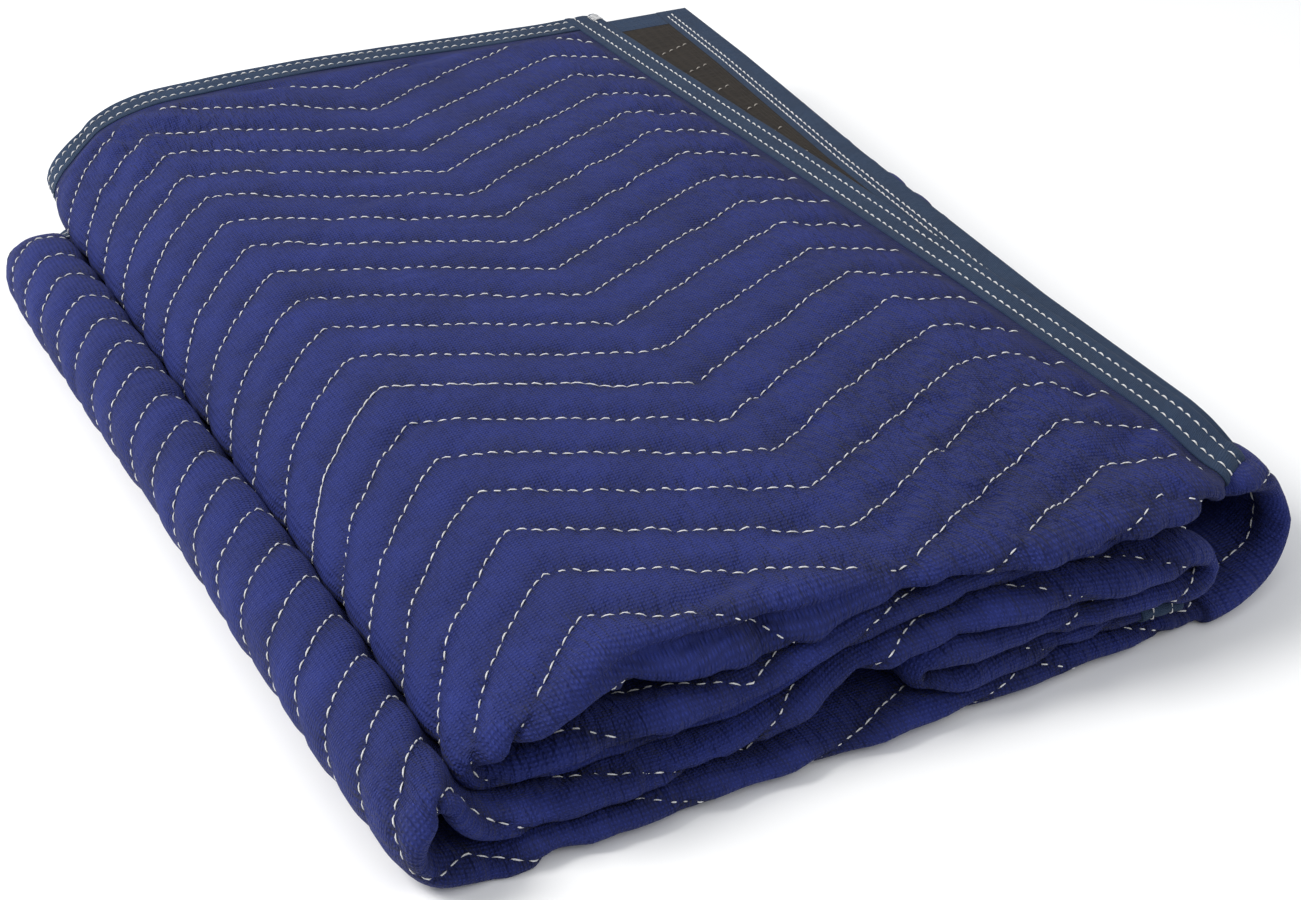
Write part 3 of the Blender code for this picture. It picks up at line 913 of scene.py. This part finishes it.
def back_tape(name, angle):
    section = tape_section()
    rows = [Row(inset, None, angle) for inset, lift in section]
    mid = middle(rows, STATIONS)
    lift = np.array([lift for inset, lift in section])[:, None] + np.zeros((1, COUNT))
    wave = field(ALONG[None, :], np.array([r.inset for r in rows])[:, None] * 1.0, 21 + angle, 14, 9)
    outside = np.array([lift_ > 2.5 for inset, lift_ in section])[:, None]
    lift = lift + np.where(outside, 0.16 * wave, 0.0)
    points = placed(rows, mid, lift)
    points = points[:, TAPE_RUN]
    cloth = np.stack([
        np.broadcast_to(ALONG[None, TAPE_RUN], points.shape[:2]),
        np.broadcast_to(np.array([r.inset for r in rows])[:, None], points.shape[:2]),
        np.ones(points.shape[:2]),
    ], -1)
    return ring_object(name, points.transpose(1, 0, 2), TAPE_MATERIAL, cloth.transpose(1, 0, 2))


def end_place(rows, at_top, inset):
    """Middle of the strip at an inset from a bound end, in every row."""
    mid = middle(rows, STATIONS)
    first = 0 if at_top else COUNT - 1
    inner = station_at_inset(at_top)
    share = (inset - END_INSETS[0]) / (END_INSETS[2] - END_INSETS[0])
    return [array[:, first] + share * (array[:, inner] - array[:, first]) for array in mid[:3]]


def station_at_inset(at_top):
    column = TOP_END if at_top else FAR_END
    held = np.where(np.abs(STATIONS[:, column] - 1.0) < 1e-6)[0]
    return int(held[-1] if at_top else held[0])


def end_rows():
    edge = [Row(inset, None, 0) for inset in (0.0, 3.0, 8.0, 13.0, 17.3, 19.4)]
    body = [Row(None, depth, 0) for depth in np.linspace(0.955, 0.0, 150)]
    ply_a = edge + body
    fold = [Row(None, 0.0, angle) for angle in range(15, 180, 15)]
    return ply_a + fold + [row._replace(angle=180) for row in reversed(ply_a)]


def lifted_end(x, place, z, lift, angle, up):
    """Points at a lift from a bound end's middle, round the front fold."""
    return np.stack([x, place - FOLD_DEPTH * lift * np.sin(angle), z + up * lift * np.cos(angle)], -1)


def end_tape(name, at_top):
    rows = end_rows()
    section = tape_section()
    up = 1.0 if at_top else -1.0
    angle = np.radians(np.array([row.angle for row in rows]))
    rings = []
    length = None
    for inset, lift in section:
        x, place, z = end_place(rows, at_top, inset)
        if length is None:
            length = np.concatenate([[0.0], np.cumsum(np.abs(np.diff(place)) + FOLD_ARC * np.diff(angle))])
        wave = field(length, np.full_like(length, inset), 31, 14, 9) * (0.16 if lift > 2.5 else 0.0)
        rings.append(lifted_end(x, place, z, lift + wave, angle, up))
    rings = np.array(rings)
    cloth = np.stack([
        np.broadcast_to(length[None, :], rings.shape[:2]),
        np.broadcast_to(np.array([s[0] for s in section])[:, None], rings.shape[:2]),
        np.ones(rings.shape[:2]),
    ], -1)
    return ring_object(name, rings.transpose(1, 0, 2), TAPE_MATERIAL, cloth.transpose(1, 0, 2))


# ---------------------------------------------------------------- stitches
STITCH_PITCH = 5.0
STITCH_LENGTH = 4.1
STITCH_RADIUS = 0.28
SIDES_OF_THREAD = 5
CLEAR_LINE = 6  # this quilting line is sewn with longer, closer stitches on its right limb
TAPE_STITCH = {"pitch": 4.4, "length": 3.4, "radius": 0.3}
THREAD_LIFT = TAPE_OUT - 0.2


class Thread:
    """Collects dashes of thread into one mesh."""

    def __init__(self):
        self.points, self.faces, self.count = [], [], 0

    def dash(self, centre_line, normals, radius):
        """One stitch along a short line of points: thin at its ends, where it dives in."""
        line = np.asarray(centre_line)
        n = len(line)
        along = np.gradient(line, axis=0)
        along /= np.linalg.norm(along, axis=1)[:, None] + 1e-9
        side = np.cross(along, normals)
        side /= np.linalg.norm(side, axis=1)[:, None] + 1e-9
        up = np.cross(side, along)
        turn = np.arange(SIDES_OF_THREAD) * 2 * math.pi / SIDES_OF_THREAD
        share = np.linspace(-1, 1, n)
        thick = radius * np.sqrt(np.clip(1.06 - share**6, 0.05, 1))
        sink = radius * 1.5 * share**6
        base = line + up * (radius * 0.5 + 0.16 - sink)[:, None]
        ring = (
            base[:, None] + thick[:, None, None] * (
                side[:, None] * np.cos(turn)[None, :, None] + up[:, None] * np.sin(turn)[None, :, None])
        )
        ids = self.count + np.arange(n * SIDES_OF_THREAD).reshape(n, SIDES_OF_THREAD)
        for r in range(n - 1):
            for s in range(SIDES_OF_THREAD):
                t = (s + 1) % SIDES_OF_THREAD
                self.faces.append((ids[r, s], ids[r + 1, s], ids[r + 1, t], ids[r, t]))
        self.faces.append(tuple(ids[0]))
        self.faces.append(tuple(ids[-1][::-1]))
        ring[..., 2] = np.maximum(ring[..., 2], FLOOR_GAP / 2)
        self.points.append(ring.reshape(-1, 3))
        self.count += n * SIDES_OF_THREAD

    def run(self, line, normals, pitch=STITCH_PITCH, length=STITCH_LENGTH, radius=STITCH_RADIUS, start=0.0):
        """Dashes all along a line of points with normals."""
        steps = np.linalg.norm(np.diff(line, axis=0), axis=1)
        at = np.concatenate([[0.0], np.cumsum(steps)])
        place = start
        while place + length < at[-1]:
            real = length * RNG.uniform(0.9, 1.08)
            where = place + np.linspace(0, real, 4)
            points = np.stack([np.interp(where, at, line[:, k]) for k in range(3)], -1)
            ups = np.stack([np.interp(where, at, normals[:, k]) for k in range(3)], -1)
            self.dash(points, ups, radius * RNG.uniform(0.92, 1.08))
            place += pitch * RNG.uniform(0.95, 1.05)

    def piece(self, name, material):
        return mesh_object(name, np.concatenate(self.points), self.faces, material)


def surface_normals(grid):
    """Unit normals of a grid of points, rows by stations, on the outside of the cloth."""
    across, along = np.gradient(grid, axis=0), np.gradient(grid, axis=1)
    out = np.cross(along, across)
    return out / (np.linalg.norm(out, axis=-1)[..., None] + 1e-9)


def pieces_of(valid):
    """Runs of consecutive true places, as slices."""
    edges = np.flatnonzero(np.diff(np.concatenate([[0], valid.astype(int), [0]])))
    return [slice(a, b) for a, b in zip(edges[::2], edges[1::2]) if b - a > 2]


def quilting_threads(outer, normals, along, across, place):
    """The quilting lines where the face cloth shows, as runs over the fine grid."""
    shown_a, shown_b = Thread(), Thread()
    lowest = int(across.min() // PITCH) - 3
    highest = int(across.max() // PITCH) + 4
    offset = line_offset(along, place)
    level = (across - offset) / PITCH
    rows = np.arange(outer.shape[0])
    fold_low, fold_high = HALF - FRONT_ROWS - 2, outer.shape[0] - HALF + FRONT_ROWS + 1
    for k in range(lowest, highest):
        line, ups, row_at, ok = [], [], [], []
        for i in range(COUNT):
            column = level[:, i]
            if not column.min() < k < column.max():
                line.append(np.zeros(3))
                ups.append(np.array([0, 0, 1.0]))
                row_at.append(-1)
                ok.append(False)
                continue
            r = np.interp(-k, -column, rows)
            low = min(int(r), len(rows) - 2)
            t = r - low
            line.append(outer[low, i] * (1 - t) + outer[low + 1, i] * t)
            ups.append(normals[low, i] * (1 - t) + normals[low + 1, i] * t)
            row_at.append(r)
            ok.append(True)
        line, ups, row_at, ok = map(np.array, (line, ups, row_at, ok))
        clear = ok & (row_at > EDGE) & (row_at < len(rows) - 1 - EDGE)
        station = np.arange(COUNT)
        clear &= (ALONG > ALONG[0] + TAPE_WIDTH) & (ALONG < ALONG[-1] - TAPE_WIDTH)
        on_a = row_at < HALF
        front = (row_at > fold_low) & (row_at < fold_high)
        top = clear & on_a & (station <= UPPER_END)
        outer_side = ~on_a & (station >= RIGHT_START) & (station <= LOWER_END)
        other = clear & ~top & (front | outer_side)
        for run in pieces_of(top):
            if k == CLEAR_LINE:
                bend = np.interp(VALLEY, -ALONG[run][::-1], np.arange(run.stop - run.start)[::-1])
                cut = run.start + int(bend)
                shown_a.run(line[run.start : cut], ups[run.start : cut])
                shown_a.run(line[cut : run.stop], ups[cut : run.stop], pitch=4.9, length=5.4)
                continue
            shown_a.run(line[run], ups[run], start=RNG.uniform(0, 3))
        for run in pieces_of(other):
            shown_b.run(line[run], ups[run], start=RNG.uniform(0, 3))
    return shown_a, shown_b


def tape_threads():
    """The two stitched rows of each binding, on its outward side."""
    found = Thread()
    for angle in (0, 180):
        rows = [Row(inset, None, angle) for inset in (3.5, 5.0, 6.5, 11.0, 12.5, 14.0)]
        mid = middle(rows, STATIONS)
        grid = placed(rows, mid, THREAD_LIFT)
        normals = surface_normals(grid)
        for row in (1, 4):
            found.run(grid[row, TAPE_RUN], normals[row, TAPE_RUN], **TAPE_STITCH)
    rows = end_rows()
    angle = np.radians(np.array([row.angle for row in rows]))
    for at_top in (True, False):
        up = 1.0 if at_top else -1.0
        for inset in STITCH_INSETS:
            grid = []
            for near in (inset - 1, inset, inset + 1):
                x, place, z = end_place(rows, at_top, near)
                grid.append(lifted_end(x, place, z, THREAD_LIFT, angle, up))
            normal = np.stack([np.zeros_like(angle), -np.sin(angle), up * np.cos(angle)], -1)
            found.run(grid[1], normal, **TAPE_STITCH)
    # The inner side of ply b's binding, where it lies open past ply a.
    depth = np.linspace(0.25, 0.985, 160)
    up = np.tile((0.0, 0.0, 1.0), (len(depth), 1))
    for inset, pitch in ((13.8, 4.1), (10.8, 4.5)):
        x = end_at(TOP_END, depth, 1.0) - inset
        open_here = x > end_at(TOP_END, depth, 0.0) + 1.0
        y = FRONT_LINE + depth * STRIP_DEPTH - 8.0 * (1 - depth)
        z = np.full_like(depth, BOUND_TOP.z - TAPE_IN + 0.1)
        line = np.stack([x, y, z], -1)
        for run in pieces_of(open_here):
            found.run(line[run], up[run], pitch=pitch, length=3.8, radius=0.3)
    for turn in range(5):
        y = 458.0 + 1.4 * turn
        line = np.array([(233.0, y, BOUND_TOP.z + 3.9), (240.0, y + 0.8, BOUND_TOP.z + 3.9)])
        found.run(line, up[:2], pitch=8.0, length=6.0, radius=0.45)
    return found


def wedge_threads():
    """Quilting stitches on the lining of ply b, in the wedge past ply a's bound end."""
    found = Thread()
    for k in range(-2, 17):
        y0 = 26.4 * k + 12.0
        depth = (y0 - FRONT_LINE) / STRIP_DEPTH
        if not 0.05 < depth < 0.93:
            continue
        low = end_at(TOP_END, depth, 0.0) + 1.5
        high = end_at(TOP_END, depth, 1.0) - TAPE_WIDTH - 1.5
        if high - low < 3.0:
            continue
        x = np.linspace(low, high, 12)
        y = y0 + 0.45 * (x - low)
        line = np.stack([x, y, np.full_like(x, BOUND_TOP.z - LINING_IN + 0.05)], -1)
        found.run(line, np.tile((0.0, 0.0, 1.0), (12, 1)), pitch=5.2, length=3.4, radius=0.3)
    return found


def build():
    face, mid, along, across, outer = build_face()
    lining = build_lining()
    back_a = back_tape("binding_back_a_tape", 0)
    back_b = back_tape("binding_back_b_tape", 180)
    top_end = end_tape("binding_top_end_tape", True)
    far_end = end_tape("binding_far_end_tape", False)
    normals = surface_normals(outer)
    shown_a, shown_b = quilting_threads(outer, normals, along, across, mid[1])
    threads_a = shown_a.piece("quilting_thread_top", THREAD_MATERIAL)
    threads_b = shown_b.piece("quilting_thread_sides", THREAD_MATERIAL)
    tape_thread = tape_threads().piece("binding_thread", THREAD_MATERIAL)
    lining_thread = wedge_threads().piece("lining_thread", PAINTED_SHADE_THREAD_MATERIAL)
    extras = [threads_a, threads_b, tape_thread, lining_thread]
    pairs = (
        (face, "face_cloth", "face_cloth"), (lining, "lining_cloth", "lining_cloth"),
        (back_a, "binding_back_a", "binding_tape"), (back_b, "binding_back_b", "binding_tape"),
        (top_end, "binding_top_end", "binding_tape"), (far_end, "binding_far_end", "binding_tape"),
    )
    for piece, name, slot in pairs:
        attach(piece, "root")
        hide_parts(name)
    for piece in extras:
        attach(piece, "root")
    return face


build()


# ---------------------------------------------------------------- studio
def area_light(name, place, target, size, watts, colour):
    data = bpy.data.lights.new(name, "AREA")
    data.shape = "RECTANGLE"
    data.size, data.size_y = size
    data.energy = watts
    data.color = colour
    lamp = bpy.data.objects.new(name, data)
    lamp.location = place
    direction = [t - p for t, p in zip(target, place)]
    lamp.rotation_euler = Vector(direction).to_track_quat("-Z", "Y").to_euler()
    bpy.context.scene.collection.objects.link(lamp)
    return lamp


def studio():
    bpy.ops.mesh.primitive_plane_add(size=6.0, location=(0, 0, -0.0004))
    floor = bpy.context.object
    floor.name = "studio_floor"
    material = bpy.data.materials.new("studio_floor_white")
    material.use_nodes = True
    shader = material.node_tree.nodes["Principled BSDF"]
    shader.inputs["Base Color"].default_value = (0.9, 0.9, 0.9, 1)
    shader.inputs["Roughness"].default_value = 0.9
    floor.data.materials.append(material)
    area_light("key", (-1.4, 0.6, 1.5), (0, 0, 0), (1.0, 1.0), 46, (1.0, 0.99, 0.97))
    area_light("fill", (0.5, -1.5, 1.3), (0, 0, 0), (1.6, 1.0), 9, (0.97, 0.98, 1.0))
    world = bpy.data.worlds.new("studio_world")
    world.use_nodes = True
    background = world.node_tree.nodes["Background"]
    background.inputs["Color"].default_value = (0.95, 0.97, 1.0, 1)
    background.inputs["Strength"].default_value = 0.6
    bpy.context.scene.world = world
    bpy.context.scene.view_settings.view_transform = "Standard"


CAMERA_PLACE = (-245.1, -506.0, 48.5 + 377.6)
CAMERA_TILT = 60.12
CAMERA_HEADING = -27.87
CAMERA_LENS = 63.8


def camera():
    data = bpy.data.cameras.new("photo_camera")
    data.lens = CAMERA_LENS
    data.sensor_width = 36.0
    data.clip_start = 0.01
    made = bpy.data.objects.new("photo_camera", data)
    made.location = [(a - b) * MM for a, b in zip(CAMERA_PLACE, ORIGIN)]
    made.rotation_euler = (math.radians(CAMERA_TILT), 0, math.radians(CAMERA_HEADING))
    bpy.context.scene.collection.objects.link(made)
    bpy.context.scene.camera = made


studio()
camera()
